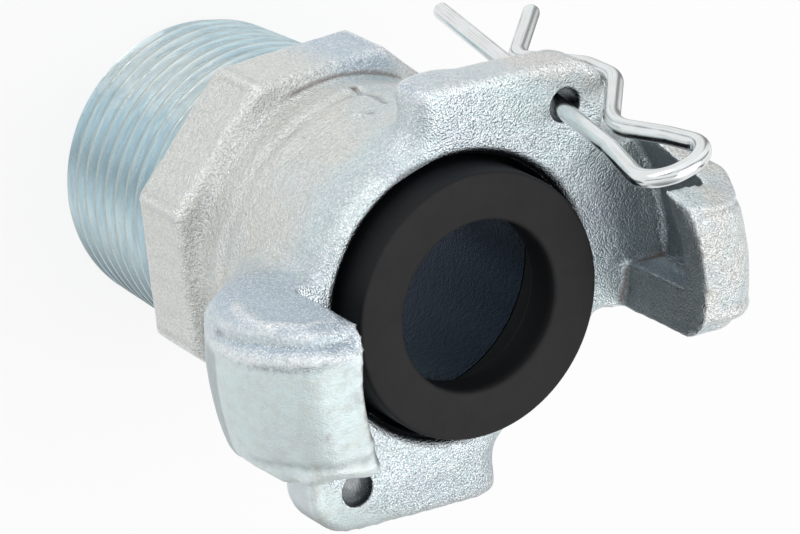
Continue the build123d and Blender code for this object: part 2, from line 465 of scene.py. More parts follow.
def half_turned(places, behind):
    """Places with those that lie behind turned half round the axis."""
    side = np.where(behind[:, None], -1.0, 1.0)
    return places * np.concatenate([side, side, np.ones_like(side)], axis=1)


def on_one_claw(places):
    """Places with the claw on -X turned onto the claw on +X."""
    return half_turned(places, places[:, 0] < 0)


def on_one_ear(places):
    """Places with the lower ear turned onto the upper ear at 45 degrees."""
    return half_turned(places, places[:, 0] + places[:, 1] < 0)


def corner_distance(places):
    """Distance round the axis from the nearest corner of the octagon, far off beside it."""
    radius, angle = polar(places)
    half = OCTAGON_STEP / 2
    away = np.abs((angle - OCTAGON_CORNER + half) % OCTAGON_STEP - half)
    beside = rise(np.abs(places[:, 2] - OCTAGON_MIDDLE), 3.6, 4.6)
    return np.radians(away) * radius + 9 * beside


# Marks on the cast skin, as lines in millimetres. What both claws or both ears have is given
# on the claw at +X and the ear at 45 degrees.
CLAW_CREASE = [
    (29.1, 4.6, 61.1), (28.3, 4.4, 64.0), (27.0, 4.3, 66.7), (25.9, 4.4, 68.3),
    (23.3, 4.8, 69.2), (20.3, 5.4, 69.2),
]
CLAW_RIDGE = [
    (27.6, -5.3, 52.4), (28.8, -6.6, 58.1), (28.7, -6.6, 61.2), (27.8, -6.7, 64.2),
    (26.3, -7.0, 66.9), (24.1, -6.9, 68.8), (20.1, -6.0, 69.1),
]
CLAW_VALLEY = [
    (27.9, -7.1, 54.9), (28.4, -7.8, 57.8), (27.9, -8.3, 61.7), (25.6, -8.4, 66.2),
    (24.2, -8.4, 67.6), (22.4, -8.0, 68.2), (19.9, -7.6, 68.2),
]
CLAW_EDGE = [
    (25.5, -9.4, 56.0), (26.2, -9.4, 59.4), (25.8, -9.3, 62.5), (23.0, -9.1, 65.2),
    (19.2, -8.5, 65.0),
]
CLAW_SPECKLE = [(28.4, -6.0, 62.6), (27.0, -6.0, 65.9), (25.9, -6.1, 67.9), (23.8, -6.1, 69.1)]
CLAW_TIP = [(19.6, 6.2, 69.2), (19.5, 7.1, 67.6)]
CLAW_LIP = [(20.6, 6.9, 68.4), (22.5, 6.7, 68.6), (24.6, 6.3, 68.2), (26.3, 5.8, 66.9)]
EAR_NOTCH = [(-2.2, 17.6, 48.0), (-2.2, 17.6, 54.0)]
EAR_START = [(-1.3, 17.8, 52.5), (-1.3, 22.0, 52.5)]
EAR_BACK = [(0.5, 21.5, 49.0), (4.0, 21.8, 49.0)]
BLISTER = [(-1.5, 17.3, 42.4), (-0.9, 17.3, 42.8)]
DENT = [(-0.3, 17.3, 42.5), (0.2, 17.3, 42.9)]
FLAW = [(2.4, 17.2, 35.6), (2.6, 17.2, 37.9), (2.9, 17.2, 39.6), (2.7, 17.2, 41.6)]
STAINS = [(-21.8, 5.0, 69.2), (-21.6, 2.1, 69.2), (-20.8, 0.4, 69.2), (-20.0, -1.0, 69.2)]
STOP_FOOT = [
    (18.5, -7.6, 55.2), (19.3, -6.0, 55.3), (19.8, -4.4, 55.5), (21.4, -3.9, 55.9),
    (24.4, -4.3, 55.6),
]


def sculpted(places, normals):
    """How far each place of the cast skin moves along its normal, in millimetres.

    Bells along lines give the ridges and creases of the claws, and bells in height give the rings
    on the neck. The broad noise for the unevenness of the sand mould is added afterwards, in
    cast_skin.
    """
    same = on_one_claw(places)
    radius, angle = polar(same)
    height = same[:, 2] - FACE
    skin = rise(facing_out(places, normals), 0.1, 0.5)
    move = np.zeros(len(places))
    on_neck = between(height, -23.5, -22.5, -6, -3)
    on_neck *= skin * (1 - rise(radius, 18.6, 19.6))
    wander = 0.5 * noise(places / 9, 5)
    worn = 0.7 + 0.6 * noise(places / 3.5, 6)
    for middle, width, lift in ((-19.3, 0.6, 0.20), (-17.8, 0.6, -0.22), (-16.4, 0.8, 0.10)):
        move += on_neck * worn * lift * bell(height - middle + wander, width)
    move += skin * 0.07 * bell(corner_distance(places), 0.4)
    ear = bell(np.abs(angle - 45), 30) * rise(radius, 21, 23) * (1 - rise(height, -0.6, -0.2))
    move += 0.22 * ear * skin
    move += 0.45 * near(on_one_ear(places), EAR_BACK, 1.8)
    front = rise(radius, 20.5, 21.5) * rise(height, -2, 0)
    for line, width, lift in (
        (CLAW_RIDGE, 0.55, 0.16),
        (CLAW_VALLEY, 0.8, -0.62),
        (CLAW_EDGE, 0.7, 0.28),
        (CLAW_SPECKLE, 0.45, -0.10),
        (CLAW_CREASE, 0.5, -0.30),
    ):
        move += front * lift * near(same, line, width)
    move += 0.9 * (places[:, 0] < 0) * near(same, CLAW_LIP, 1.1)
    for line, width, lift in ((FLAW, 0.38, -0.30), (BLISTER, 0.5, 0.30), (DENT, 0.4, -0.30)):
        move += lift * near(places, line, width)
    return move


def cast_skin(mesh, sizes):
    """Softens the remeshed body, blends its roots and gives it the unevenness of a casting."""
    places, edges = read_points(mesh), read_edges(mesh)
    crisp = 1 - rise(places[:, 2], 32.2, 33.2)
    places = relax(places, edges, 0.5 - 0.25 * crisp, 4)
    radius, height = polar(places)[0], places[:, 2] - FACE
    root = bell(radius - 18.4, 1.9) * rise(height, -21, -17) * (1 - rise(height, -4.5, -2.5))
    rim = bell(radius - 17.2, 1.3) * rise(height, -4.5, -1.5)
    rim *= 1 - rise(radius, 18.2, 19.2)
    collar = bell(radius - 17.6, 1.1) * bell(height + 22.6, 1.1)
    soft = np.clip(root + 0.8 * rim + 0.9 * collar, 0, 1)
    places = relax(places, edges, 0.5 * soft, 38, shrink=True)
    for one_of_two, line, width, rounds in (
        (on_one_ear, EAR_START, 2.6, 80),
        (on_one_ear, EAR_NOTCH, 3.0, 220),
        (on_one_claw, CLAW_TIP, 1.6, 58),
    ):
        soft = near(one_of_two(places), line, width)
        places = relax(places, edges, 0.6 * soft, rounds, shrink=True)
    write_points(mesh, places)
    normals = read(mesh.vertices, "normal")
    move = sculpted(places, normals)
    swell, bumps = sizes.swell / MM, sizes.bumps / MM
    move += swell * noise(places / 4.2, 1) * 0.8
    move += bumps * noise(places / 1.3, 2) * (0.55 + 0.45 * rise(height, -3, -0.5))
    move += bumps * noise(places / 0.85, 3) * rise(height, -4, -1) * 0.5
    places = places + normals * move[:, None]
    limit = np.array(CAD_BOX[1]) / MM - INSIDE_BOX
    write_points(mesh, np.clip(places, [-limit[0], -limit[1], 0], limit))


def cut_away(mesh, tool):
    """A mesh with a closed tool cut out of it."""
    cutter = loose_object("tool", tool)
    cut = modified(
        loose_object("work", mesh),
        "BOOLEAN",
        operation="DIFFERENCE",
        solver="MANIFOLD",
        object=cutter,
    )
    bpy.data.objects.remove(cutter)
    return cut


def flare(radius, depth, width, steps=6):
    """Profile points of a rounded lip that opens from a radius at a depth under the face."""
    angle = np.linspace(0, pi / 2, steps)
    return [
        (radius + width * (1 - np.cos(a)), FACE - depth + depth * np.sin(a)) for a in angle
    ]


def in_millimetres(sizes, *names):
    """Named sizes of a group in millimetres."""
    return [getattr(sizes, name) / MM for name in names]


def machined(mesh, sizes):
    """Cuts the bore, the recess, the lock holes and the thread's seat into the cast skin."""
    bore, hole, back = in_millimetres(sizes, "bore_radius", "hole_radius", "back")
    recess, depth = in_millimetres(sizes, "recess_radius", "recess_depth")
    floor = FACE - depth
    above = FACE + 2
    profile = [(0, 10), (bore, 10), (bore, floor), (recess, floor), (recess, FACE - 1.0)]
    profile += flare(recess + 0.1, 0.9, 1.0) + [(recess + 1.1, above), (0, above)]
    mesh = cut_away(mesh, block(profile, 256))
    mesh = cut_away(mesh, block([(0, -2), (30, -2), (30, back), (0, back)], 64))
    profile = [(0, 44), (hole + 0.9, 44), (hole + 0.5, 49.25), (hole, 49.75)]
    profile += [(hole, FACE - 0.25), (hole + 0.06, FACE - 0.1), (hole + 0.2, FACE)]
    profile += [(hole + 0.4, above), (0, above)]
    for place in lock_holes(sizes.hole_distance):
        mesh = cut_away(mesh, block(profile, 64, place))
    return mesh


def mark_edges(mesh, places, normals):
    """Levels for what stands over, and what lies under, the evened-out skin: a painted highlight on
    edges and ridges, on the left claw's edge and ridge lines and on the octagon's corners, and
    painted shade in hollows and beside the corners, with the claw's dark speckle and the face's
    pocks.
    """
    pull = np.full(len(places), 0.6)
    even = relax(places, read_edges(mesh), pull, 7, shrink=True)
    over = np.sum((places - even) * normals, axis=1)
    same = on_one_claw(places)
    left = places[:, 0] < 0
    # Painted highlight along the left claw's edge and ridge lines, broken by noise, and on the
    # octagon's corners
    glow = 0.7 * near(same, CLAW_EDGE, 0.8) * left
    glow += 0.7 * near(same, CLAW_RIDGE, 0.6) * left
    glow *= rise(noise(places / 0.8, 61), -0.5, 0.4)
    corner = corner_distance(places)
    glow += 0.45 * bell(corner, 0.3)
    speckle = near(same, CLAW_SPECKLE, 0.5) * rise(noise(places / 0.45, 51), -0.2, 0.5)
    radius, angle = polar(places)
    pocked = bell(angle % 360 - 190, 32) * rise(places[:, 2], 52, 54)
    pocked *= 1 - rise(radius, 17.5, 19.5)
    pocked *= rise(noise(places / 0.55, 52), -0.05, 0.4)
    # Painted shade in hollows and beside the octagon's corners, with the claw's real dark speckle
    # and the face's pocks
    crease_shade_and_pocks = rise(-over, 0.02, 0.13) + 1.2 * speckle + 1.3 * pocked
    crease_shade_and_pocks += 0.3 * bell(corner - 0.7, 0.25)
    # edge is a painted highlight on what stands over the skin; the other level is painted shade in
    # hollows, with real speckle and pocks
    return {"edge": rise(over, 0.02, 0.13) + glow, "crease_shade_and_pocks": crease_shade_and_pocks}


def mark_casting(mesh):
    """Levels for the finish: grain of the skin, tints of the plating, rust, painted shade, a
    painted bluish sheen and painted light on the claw's skin.
    """
    places, normals = read_points(mesh), read(mesh.vertices, "normal")
    same = on_one_claw(places)
    radius, angle = polar(same)
    height = same[:, 2] - FACE
    seam_angle = polar(places)[1]
    inward = -facing_out(places, normals)
    under_rim = 1 - rise(height, 0.4, 1.2)

    # Grain: coarse on the face, in the hooks and near the ears' start, fine on the claws' skin
    face = rise(height, -5.5, -2.2) * (1 - rise(radius, 25.6, 26.6) * rise(height, 0.4, 1.2))
    hook = rise(height, 0.3, 1.0) * rise(inward, 0.35, 0.6)
    top = rise(height, 12.5, 13.6)
    outer = rise(radius, 22, 24.5) * (1 - rise(inward, -0.1, 0.3)) * rise(height, -9, -5)
    outer = np.maximum(outer, top * rise(normals[:, 2], 0.5, 0.8))
    right = outer * (places[:, 0] > 0)
    grain = np.clip(face * (1 - outer) * (1 - 0.75 * top) + hook, 0, 1)
    turned_up = rise(normals @ np.array([0.25, 0.96, 0.1]), 0.3, 0.8)
    claws = rise(height, -14, -6) * rise(radius, 17.5, 20) * rise(-same[:, 1], 3, 5)
    grain = np.maximum(grain, 0.30 * (1 - outer) + 0.5 * turned_up * claws)
    start = near(on_one_ear(places), EAR_START, 3.2)
    grain = np.maximum(grain, np.maximum(0.4 * right, 1.2 * start - 0.1))
    # The outer skin of the claw at -X: it is smoother, and its paler colour in the finish is
    # painted light
    skin = outer * (1 - rise(-same[:, 1], 5.6, 6.3)) * (1 - right)

    # Tints: warm on octagon and neck, lilac on the ears' sides; a painted bluish sheen where turned
    # up and on the octagon's shoulder
    warmth = (1 - rise(height, -9, -3)) * (0.75 + 0.5 * noise(places / 8, 11))
    warmth = np.where(height < -22, 0.85 - bell(seam_angle - 70, 13), warmth) - start
    warmth += 0.95 * right * (0.75 + 0.6 * noise(places / 3, 12))
    shoulder = rise(radius, 17.4, 18.4)
    # Painted bluish sheen along the octagon's shoulder
    head = bell(seam_angle - 76, 22) * bell(height + 22.4, 1.1) * shoulder
    head += bell(seam_angle % 360 - 200, 20) * bell(height + 22.6, 0.5) * shoulder
    head += bell(seam_angle - 70, 13) * (1 - rise(height, -22.5, -21)) * rise(radius, 17, 19)
    ear = bell(np.abs(angle - 45), 34) * (1 - rise(normals[:, 2], 0.3, 0.6))
    ear *= rise(height, -7, -5) * (1 - rise(height, -1.0, -0.3)) * rise(radius, 19, 21)

    # Rust: in the seam over the thread, at the stop's foot, in cracks and on small spots
    broken = rise(noise(places / 0.9, 21), -0.25, 0.5)
    seam = bell(np.hypot(radius - 17.75, height + 22.9), 0.26)
    seam *= between(seam_angle, 52, 60, 96, 108)
    flash = bell(np.hypot(radius - 20.4, height - 13.7), 0.5) * rise(angle, -16, -8) * 0.55
    crease = near(same, CLAW_CREASE, 0.35) * 0.3
    spots = rise(noise(places / 1.1, 31), 0.62, 0.8) * rise(radius, 19.5, 21)
    spots *= rise(height, 6, 12)
    stains = near(places, STAINS, 1.0) * rise(noise(places / 0.9, 33), 0.0, 0.6)
    rim = bell(np.hypot(radius - 17.0, height + 1.2), 0.9)
    rim *= rise(noise(places / 0.8, 41), 0.5, 0.75)
    rust = seam * 0.9 + near(same, STOP_FOOT, 0.34) + 2.2 * near(places, FLAW, 0.26)
    rust += (flash + crease) * broken + 0.3 * spots + 0.3 * rim + 0.16 * stains

    # Painted shade: darker in the bore, the recess and the lock holes, on the hooks' inner faces
    # and the face under the claws, and on the lower ear, most on its sides turned down
    under_hook = rise(radius, 17.5, 20.5) * between(angle, -12, -9, 28, 36)
    shaded = np.maximum(hook, 0.5 * under_hook * face * under_rim)
    low = rise(-places[:, 1], 15.5, 18.5) * rise(height, -8, -6.5) * under_rim
    low *= 0.34 + 0.4 * (1 - rise(normals[:, 2], 0.3, 0.85))
    inside = 1 - rise(radius, 13.2, 13.8)
    recess = (1 - rise(radius, 14.95, 15.0)) * (1 - rise(height, -1.1, -1.0))
    rolled = rise(height, -1.3, -1.0) * (1 - rise(radius, 15.5, 16.0))
    rolled *= rise(radius, 14.95, 15.1)
    holes = np.zeros(len(places))
    for place in lock_holes(bpy.context.scene.coupling_casting.hole_distance):
        reach = np.hypot(*(places[:, :2] - place).T)
        holes = np.maximum(holes, 1 - rise(reach, 1.78, 1.86))
    shaded = np.maximum(shaded, low * (1 - holes))
    # Painted shade, as one level for the finish
    dark = inside + 0.9 * recess + 0.55 * holes + 0.75 * rolled + 0.55 * shaded

    levels = mark_edges(mesh, places, normals)
    levels |= {"grain": grain, "skin": skin, "warmth": warmth, "rust": rust, "dark": dark}
    levels["lilac"] = ear * (0.75 + 0.5 * noise(places / 3, 13))
    # Painted bluish sheen on faces of the claws turned up and on the octagon's shoulder
    levels["blue"] = turned_up * claws + 0.8 * head
    levels["cut"] = recess + holes
    write_levels(mesh, levels)


# Rows of the thread's grid in one turn, as shares of the pitch from the middle of a crest
ROWS_OF_A_TURN = [0, 0.05, 0.09, 0.1, 0.2, 0.33, 0.45, 0.47]
ROWS_OF_A_TURN += [0.5, 0.53, 0.55, 0.67, 0.8, 0.9, 0.91, 0.95]


def thread_places(sizes):
    """The thread's surface, from the bore's mouth over the helix to its hidden upper end.

    A row of the grid follows the helix: at an angle it lies at pitch * (row + angle / tau).
    The radius is the taper's crest radius less the depth times a profile over one pitch, with
    flat crests, straight flanks and narrow roots, and the chamfer's cone limits it. Rows past
    an end are held at that end, where the welding folds them into one ring.
    """
    pitch, top = sizes.pitch / MM, sizes.length / MM + 0.1
    bore, end = sizes.bore_radius / MM, sizes.end_radius / MM
    turns = int(np.ceil(top / pitch)) + 1
    rows = (np.arange(-1, turns)[:, None] + np.array(ROWS_OF_A_TURN)).ravel()
    angle = np.linspace(0, tau, sizes.columns + 1)
    height = np.clip(pitch * (rows[:, None] + angle / tau), 0, top)
    phase = (height / pitch - angle / tau) % 1
    groove = np.clip((0.405 - np.abs(phase - 0.5)) / 0.37, 0, 1)
    radius = end + sizes.taper * height - sizes.depth / MM * groove
    radius = np.minimum(radius, end - sizes.chamfer / MM + height)
    inner = [(bore + 0.5, top), (bore + 0.5, top - 0.35), (bore, top - 0.35)]
    inner += [(bore, 0.8), (bore + 0.8, 0)]
    inner, last = (np.array(ring).T[:, :, None] + 0 * angle for ring in (inner, inner[:1]))
    radius = np.concatenate([inner[0], radius, last[0]])
    height = np.concatenate([inner[1], height, last[1]])
    angle[-1] = 0
    return MM * np.stack([radius * np.cos(angle), radius * np.sin(angle), height], axis=-1)


# Rings of a wire's rounded end
CAP_RINGS = 7


def wire_places(path, radius, sides=28):
    """A round wire along a path in the (out, up) plane, with softly rounded ends.

    Each ring lies square to the path, which stays in one plane, so a ring is the path's side
    direction times the cosine and the plane's normal times the sine of the angle.
    """
    tangent = np.gradient(path, axis=0)
    tangent /= np.linalg.norm(tangent, axis=1)[:, None]
    closing = np.linspace(0, pi / 2, CAP_RINGS)
    opening = closing[::-1]
    before = path[0] - tangent[0] * (0.75 * radius * np.sin(opening) - 0.4 * radius)[:, None]
    after = path[-1] + tangent[-1] * (0.75 * radius * np.sin(closing) - 0.4 * radius)[:, None]
    centres = np.concatenate([before, path[2:-2], after])
    first, last = (np.tile(tangent[i], (CAP_RINGS, 1)) for i in (0, -1))
    tangents = np.concatenate([first, tangent[2:-2], last])
    full = np.ones(len(path) - 4)
    sizes = np.concatenate([np.cos(opening) ** 0.6, full, np.cos(closing) ** 0.6])
    sizes = sizes * radius
    sizes[[0, -1]] = 0
    angle = np.linspace(0, tau, sides + 1)
    angle[-1] = 0
    side = np.stack([-tangents[:, 1], tangents[:, 0]], axis=1)
    ring = sizes[:, None] * np.cos(angle)
    out = centres[:, :1] + side[:, :1] * ring
    up = centres[:, 1:] + side[:, 1:] * ring
    across = sizes[:, None] * np.sin(angle)
    along = np.concatenate([[0], np.cumsum(np.linalg.norm(np.diff(centres, axis=0), axis=1))])
    flow = np.stack(
        [np.cos(angle) + 0 * ring, np.sin(angle) + 0 * ring, along[:, None] + 0 * ring], axis=-1
    )
    return np.stack([out, across, up], axis=-1), flow


# Finishes


def math_method(operation, swapped=False):
    """A method for an operator of Level, with its operands swapped if it stands on the right."""

    def method(level, other):
        return level.math(operation, *((other, level) if swapped else (level, other)))

    return method


class Level:
    """A number that varies over a surface. Its operators add Math nodes."""

    __add__, __radd__ = math_method("ADD"), math_method("ADD", True)
    __sub__, __rsub__ = math_method("SUBTRACT"), math_method("SUBTRACT", True)
    __mul__, __rmul__ = math_method("MULTIPLY"), math_method("MULTIPLY", True)

    def __init__(self, finish, socket):
        self.finish = finish
        self.socket = socket

    def math(self, operation, *operands):
        inputs = dict(enumerate(operands))
        node = self.finish.add("Math", inputs, operation=operation)
        return Level(self.finish, node.outputs[0])

    def between(self, low, lower, upper, high):
        """0 outside low and high, and 1 from lower to upper."""
        return self.rise(low, lower) * (1 - self.rise(upper, high))

    def limited(self):
        """Held between 0 and 1."""
        return self.rise(0, 1, "LINEAR")

    def rise(self, low, high, kind="SMOOTHSTEP"):
        """0 below low and 1 above high."""
        inputs = {"Value": self, "From Min": low, "From Max": high}
        node = self.finish.add("MapRange", inputs, interpolation_type=kind, clamp=True)
        return Level(self.finish, node.outputs["Result"])


class Finish:
    """The nodes of a material or a world, and the few calls that build them."""

    def __init__(self, owner):
        self.owner = owner
        owner.use_nodes = True
        self.tree = owner.node_tree
        self.tree.nodes.clear()
        self.coordinates = self.add("TexCoord").outputs
        inputs = {0: self.coordinates["Object"], "Scale": 1000}
        scaled = self.add("VectorMath", inputs, operation="SCALE")
        self.place = scaled.outputs[0]
        self.x, self.y, self.z = self.parts(self.place)

    def add(self, kind, inputs=None, **settings):
        """Adds a node, sets its settings, then its sockets' values or links."""
        node = self.tree.nodes.new("ShaderNode" + kind)
        for key, value in settings.items():
            setattr(node, key, value)
        for key, value in (inputs or {}).items():
            self.feed(node.inputs[key], value)
        return node

    def feed(self, socket, value):
        """Links a socket to a level or another socket, or sets its value."""
        if isinstance(value, Level):
            self.tree.links.new(value.socket, socket)
        elif isinstance(value, bpy.types.NodeSocket):
            self.tree.links.new(value, socket)
        else:
            socket.default_value = value

    def noise(self, scale, detail=2.0, roughness=0.5, place=None):
        """Noise with so many lumps to a millimetre, about 0.5."""
        inputs = {"Scale": scale, "Detail": detail, "Roughness": roughness}
        inputs["Vector"] = place or self.place
        node = self.add("TexNoise", inputs, noise_dimensions="3D")
        return Level(self, node.outputs["Fac"])

    def parts(self, vector):
        """The three numbers of a vector or a colour."""
        node = self.add("SeparateXYZ", {0: vector})
        return [Level(self, socket) for socket in node.outputs]

    def cells(self, scale):
        """Distance to the middle of random cells, so many to a millimetre, and a level for each."""
        inputs = {"Vector": self.place, "Scale": scale}
        node = self.add("TexVoronoi", inputs, feature="F1")
        return Level(self, node.outputs["Distance"]), self.parts(node.outputs["Color"])[0]

    def attribute(self, name):
        """The outputs for what is stored on the mesh under a name."""
        return self.add("Attribute", attribute_name=name).outputs

    def stored(self, *names):
        """The numbers stored on the mesh under these names."""
        return [Level(self, self.attribute(name)["Fac"]) for name in names]

    def stretched(self, vector, scale):
        """A vector scaled along each axis."""
        return self.add("VectorMath", {0: vector, 1: scale}, operation="MULTIPLY").outputs[0]

    def mixed(self, share, first, second):
        """A colour between two colours."""
        settings = {"data_type": "RGBA", "blend_type": "MIX", "clamp_factor": True}
        inputs = {0: share, 6: self.rgb(first), 7: self.rgb(second)}
        return self.add("Mix", inputs, **settings).outputs[2]

    def layered(self, base, *layers):
        """A colour under layers, which are each a share and a colour, the top one last."""
        for share, colour_over in layers:
            base = self.mixed(share, base, colour_over)
        return base

    @staticmethod
    def rgb(value):
        """A socket as it is, and three numbers with an alpha of 1."""
        return value if isinstance(value, bpy.types.NodeSocket) else (*value, 1)

    def bump(self, height, strength, distance):
        """Normals from a height, where a height of 1 stands a distance in millimetres high."""
        inputs = {"Height": height, "Strength": strength, "Distance": distance * MM}
        return self.add("Bump", inputs).outputs[0]

    def finished(self, base, roughness, normal, **others):
        """Ends the material in one Principled shader."""
        inputs = {"Base Color": base, "Roughness": roughness, "Normal": normal}
        for key, value in others.items():
            inputs[key.replace("_", " ").title().replace("Ior", "IOR")] = value
        shader = self.add("BsdfPrincipled", inputs)
        self.add("OutputMaterial", {"Surface": shader.outputs[0]})
        return self.owner


def cast_zinc(colours):
    """Zinc on a sand casting: grains with painted glints, warm and lilac clouds, rust in the seams,
    painted highlight on edges, a painted bluish sheen and painted shade.
    """
    finish = Finish(bpy.data.materials.new("cast_zinc"))
    grain, warmth, rust, dark = finish.stored("grain", "warmth", "rust", "dark")
    cut, blue, edge, crease_shade_and_pocks = finish.stored("cut", "blue", "edge", "crease_shade_and_pocks")
    skin, ear = finish.stored("skin", "lilac")
    clouds = finish.noise(0.16, 3, 0.6)
    mottle = finish.noise(0.9, 3, 0.6)
    peel = finish.noise(1.7, 2, 0.5)
    fine = finish.noise(4.6, 3, 0.7)
    reach, chance = finish.cells(5.0)
    domes = 1 - reach * reach * 2.2

    lilac = (clouds * 1.1 - 0.35).limited() + ear * 0.6
    warm = (warmth * 1.3 - 0.2 + (mottle - 0.5) * 0.9).limited() * 0.9
    loud = 0.55 + grain * 0.45 - skin * 0.42 - warmth * (1 - grain) * 0.25
    shade = (1 - chance.rise(0.05, 0.45)) * loud * (0.5 - grain * 0.17)
    # Painted glints on the tops of the grains' domes, and painted highlight on edges and ridges
    painted_glints = chance.rise(0.52, 0.92) * domes.rise(0.1, 0.8) * loud
    painted_glints = (painted_glints + edge * (0.35 + chance * 0.5) * (1 - warmth * 0.5)).limited()
    pits = (1 - domes.rise(-0.4, 0.8)) * grain
    film = (mottle * 3.2 - 1.35).limited() * skin * 0.35
    base = finish.layered(
        colours.zinc,
        (lilac, colours.lilac),
        # Painted bluish sheen where turned up
        (blue * (0.5 + mottle * 0.7), colours.blue),
        (warm, colours.warm),
        (shade, (0.33, 0.41, 0.48)),
        # Painted shade in hollows, with the dark speckle and pocks
        (crease_shade_and_pocks * 0.55, (0.27, 0.29, 0.31)),
        (painted_glints, (0.96, 0.99, 1.0)),
        (pits * 0.12, (0.22, 0.27, 0.29)),
        # Painted light: the outer skin of the claw at -X made paler
        (skin * 0.45, (0.77, 0.87, 0.87)),
        (film, (0.62, 0.60, 0.51)),
        ((rust * (0.65 + mottle * 0.6)).limited(), colours.rust),
        # Painted shade in the bore, recess, lock holes, hooks and lower ear
        (dark, colours.bore_shade),
    )

    roughness = 0.46 + (mottle - 0.5) * 0.14 + rust * 0.3 - cut * 0.16
    roughness = roughness - grain * 0.12 - edge * 0.12 + skin * 0.1
    height = peel * (0.5 + grain * 0.5 + warmth * 1.8)
    height = height + fine * (1.25 - grain * 0.65 - skin * 0.55 - warmth * 0.4)
    height = height + domes * (0.25 + grain * 0.6 - skin * 0.2) + chance * grain * 0.3
    normal = finish.bump(height * (1 - cut * 0.85) * (1.35 - grain * 0.91), 1.0, 0.09)
    metallic = (1.0 - rust * 0.8).limited()
    return finish.finished(base, roughness.limited(), normal, metallic=metallic)


def cut_zinc(colours, pitch):
    """Zinc on the cut thread: fine turning lines round it and painted shade in the roots.

    The phase along the helix is the fraction of height / pitch - angle / tau, and it is 0 on
    the crest. By the angle about the axis it is painted with a highlight, a darker blue shade and a
    dark shade underneath, in zones.
    """
    finish = Finish(bpy.data.materials.new("cut_zinc"))
    angle = finish.x.math("ARCTAN2", finish.y, finish.x)
    phase = finish.z * (MM / pitch) - angle * (1 / tau)
    phase = phase.math("FRACT", phase)
    lines = finish.noise(1.0, 3, 0.75, finish.stretched(finish.place, (0.25, 0.25, 4.5)))
    clouds = finish.noise(0.22, 3, 0.6)
    specks = finish.noise(2.6, 3, 0.7)
    root = phase.between(0.36, 0.48, 0.54, 0.64)
    crest = (1 - phase.rise(0.03, 0.10)) + phase.rise(0.90, 0.96)
    flank = phase.rise(0.10, 0.3)
    turn = angle + ((lines - 0.5) * 0.5 + (clouds - 0.5) * 0.6)
    # Zones by the angle about the axis: a painted highlight, a painted darker blue shade and
    # painted shade underneath
    bright = turn.between(1.5, 1.9, 2.05, 2.35)
    painted_blue_shade = turn.between(2.1, 2.5, 2.75, 3.1)
    below = turn.between(-2.9, -2.4, -1.6, -0.9)
    base = finish.layered(
        colours.thread_zinc,
        ((clouds * 3 - 1.1).limited() * 0.4, colours.zinc),
        # A darker blue on the flanks, and painted shade in its zone
        (flank * 0.15 + painted_blue_shade * 0.3, (0.36, 0.56, 0.67)),
        # Painted shade underneath, most on the flanks
        (below * (0.35 + flank * 0.45), (0.16, 0.20, 0.23)),
        # Painted highlight: white-blue streaks in its zone
        (bright * (lines * 2.4 - 0.5).limited() * 0.9, (0.92, 1.0, 1.0)),
        ((lines * 3.4 - 1.5).limited() * 0.5, (0.32, 0.44, 0.50)),
        (crest.limited() * (0.45 + clouds * 0.5), (0.48, 0.49, 0.42)),
        # Painted shade in the roots
        (root * 0.9, (0.06, 0.06, 0.055)),
        (specks.rise(0.66, 0.74) * 0.4, colours.rust),
    )
    roughness = 0.30 + (lines - 0.5) * 0.24 + root * 0.3
    normal = finish.bump(lines, 0.8, 0.07)
    return finish.finished(base, roughness.limited(), normal, metallic=1.0)


def moulded_rubber(colours):
    """Matt black rubber with a faint moulded grain and pale dust, and painted shade on its outer
    side and below its front.
    """
    finish = Finish(bpy.data.materials.new("moulded_rubber"))
    grain = finish.noise(3.4, 3, 0.6)
    clouds = finish.noise(0.3, 3, 0.6)
    radius = finish.x * finish.x + finish.y * finish.y
    radius = radius.math("SQRT", radius)
    # Painted shade on the outer side and below the front
    side = radius.rise(13.9, 14.1) + (1 - finish.z.rise(57.4, 58.0))
    base = finish.layered(
        colours.rubber,
        ((clouds * 2 - 0.7).limited() * 0.5, (0.03, 0.0295, 0.03)),
        (grain.rise(0.70, 0.78) * 0.12, (0.10, 0.098, 0.095)),
        (side.limited() * 0.85, (0.004, 0.006, 0.008)),
    )
    roughness = 0.58 + (clouds - 0.5) * 0.12
    normal = finish.bump(grain, 0.35, 0.05)
    return finish.finished(base, roughness, normal, specular_ior_level=0.2)


def bright_wire(colours):
    """Bright plated wire with fine lines along its length, and a painted dark reflection line at
    one side all along it.
    """
    finish = Finish(bpy.data.materials.new("bright_wire"))
    flow = finish.attribute("flow")["Vector"]
    lines = finish.noise(1.0, 3, 0.6, finish.stretched(flow, (7, 7, 0.14)))
    clouds = finish.noise(0.5, 2, 0.5)
    across, side, _ = finish.parts(flow)
    # Painted reflection: a dark line at a fixed place round the wire, broken by clouds
    painted_dark_reflection = across.between(-0.6, -0.5, -0.45, -0.35) * side.rise(-0.1, 0.1)
    base = finish.layered(
        colours.wire,
        ((clouds * 2 - 0.6).limited() * 0.5, colours.warm),
        (lines.rise(0.53, 0.70) * 0.5, (0.28, 0.34, 0.38)),
        # Painted dark reflection line
        (painted_dark_reflection * (clouds * 2 - 0.4).limited(), (0.24, 0.29, 0.33)),
    )
    roughness = 0.17 + (clouds - 0.5) * 0.08
    normal = finish.bump(lines, 0.4, 0.03)
    return finish.finished(base, roughness, normal, metallic=1.0)


# Operators


class Builder:
    """What the operators share: each builds its part of the scene."""

    def execute(self, context):
        self.build(context.scene)
        return {"FINISHED"}


class COUPLING_OT_thread(Builder, bpy.types.Operator):
    """Add the cut taper thread and its bore"""

    bl_idname = "coupling.thread"
    bl_label = "Thread"

    def build(self, scene):
        sizes = scene.coupling_thread
        mesh = grid_mesh("thread", thread_places(sizes))
        thing = piece("thread", mesh, 38, cut_zinc(scene.coupling_finishes, sizes.pitch))


